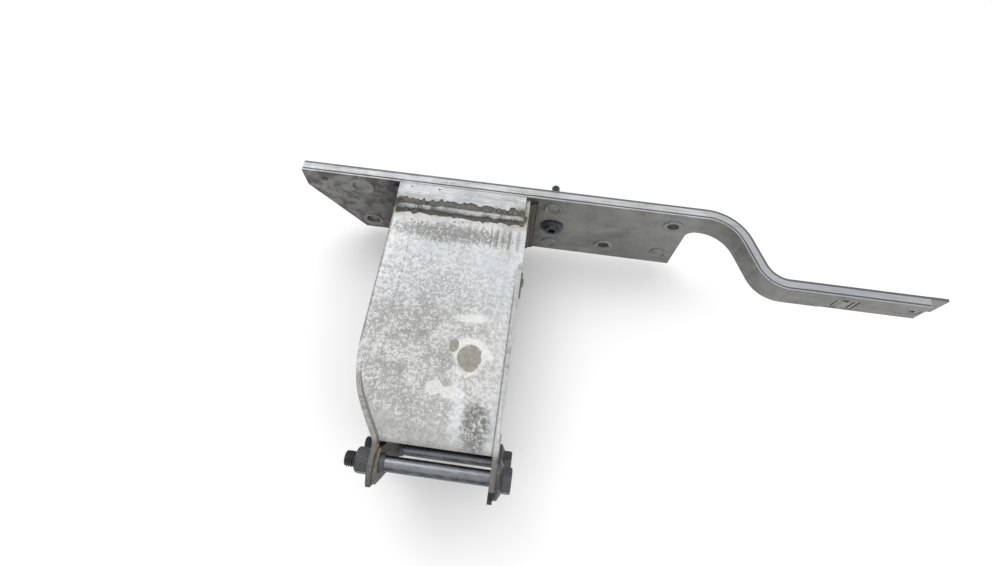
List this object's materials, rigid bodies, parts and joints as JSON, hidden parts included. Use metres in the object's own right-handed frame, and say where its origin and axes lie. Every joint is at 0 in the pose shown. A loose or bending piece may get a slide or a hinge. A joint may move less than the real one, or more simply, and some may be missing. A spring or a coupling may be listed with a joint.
{
  "type": "welded mounting bracket arm",
  "caption": "Welded aluminium bracket: flat three-cell beam with an S-bent arm, a crush box on its face and two through-bolts across the mouth.",
  "frame": {"origin": "centre of the seating area on the beam's back face, level with the middle of the beam's height and of the box's width", "axes": "+X along the beam towards the bent arm, +Y out of the back face, away from the box, +Z towards the beam's upper rim"},
  "size_m": [0.5819, 0.3125, 0.1274],
  "materials": {
    "alloy_beam": "weathered matte",
    "alloy_box": "weathered satin",
    "weld": "rough weld bead",
    "rivet_alloy": "dull",
    "dark_steel": "black phosphate",
    "plated_steel": "zinc plated"
  },
  "bodies": {
    "bracket": {"beam": "alloy_beam", "box_tube": "alloy_box", "ear_plate": "alloy_beam", "weld_top": "weld", "weld_bottom": "weld", "weld_right": "weld", "weld_left": "weld", "weld_ear": "weld", "bushes": "dark_steel", "rivets": "rivet_alloy", "sleeves": "rivet_alloy", "left_bush": "rivet_alloy", "dish_plug": "rivet_alloy", "side_plug": "rivet_alloy", "stud": "dark_steel", "clip_nut": "plated_steel"},
    "bolt_upper": {"bolt_upper": "dark_steel"},
    "nut_upper": {"nut_upper": "dark_steel"},
    "bolt_lower": {"bolt_lower": "dark_steel"},
    "nut_lower": {"nut_lower": "dark_steel"},
    "flange_screw": {"flange_screw": "dark_steel"},
    "flange_nut": {"flange_nut": "dark_steel"}
  },
  "joints": [
    {"name": "upper_bolt_turn", "type": "hinge", "parent": "bracket", "child": "bolt_upper", "pos_m": [0, -0.25962, 0.05096], "axis": [1, 0, 0], "range_deg": [0, 3600]},
    {"name": "upper_nut_travel", "type": "slide", "parent": "bracket", "child": "nut_upper", "axis": [-1, 0, 0], "range_m": [0, 0.0176]},
    {"name": "lower_bolt_turn", "type": "hinge", "parent": "bracket", "child": "bolt_lower", "pos_m": [0, -0.2377, -0.02312], "axis": [1, 0, 0], "range_deg": [0, 3600]},
    {"name": "lower_nut_travel", "type": "slide", "parent": "bracket", "child": "nut_lower", "axis": [-1, 0, 0], "range_m": [0, 0.0176]},
    {"name": "flange_screw_turn", "type": "hinge", "parent": "bracket", "child": "flange_screw", "pos_m": [0.08505, -0.0065, 0.0005], "axis": [0, -1, 0], "range_deg": [0, 5400]},
    {"name": "flange_nut_travel", "type": "slide", "parent": "bracket", "child": "flange_nut", "axis": [0, 1, 0], "range_m": [0, 0.0189]}
  ],
  "couplings": [
    {"joint": "upper_nut_travel", "follows": "upper_bolt_turn", "m_per_rad": 0.00027852},
    {"joint": "lower_nut_travel", "follows": "lower_bolt_turn", "m_per_rad": 0.00027852},
    {"joint": "flange_nut_travel", "follows": "flange_screw_turn", "m_per_rad": 0.00019894}
  ]
}
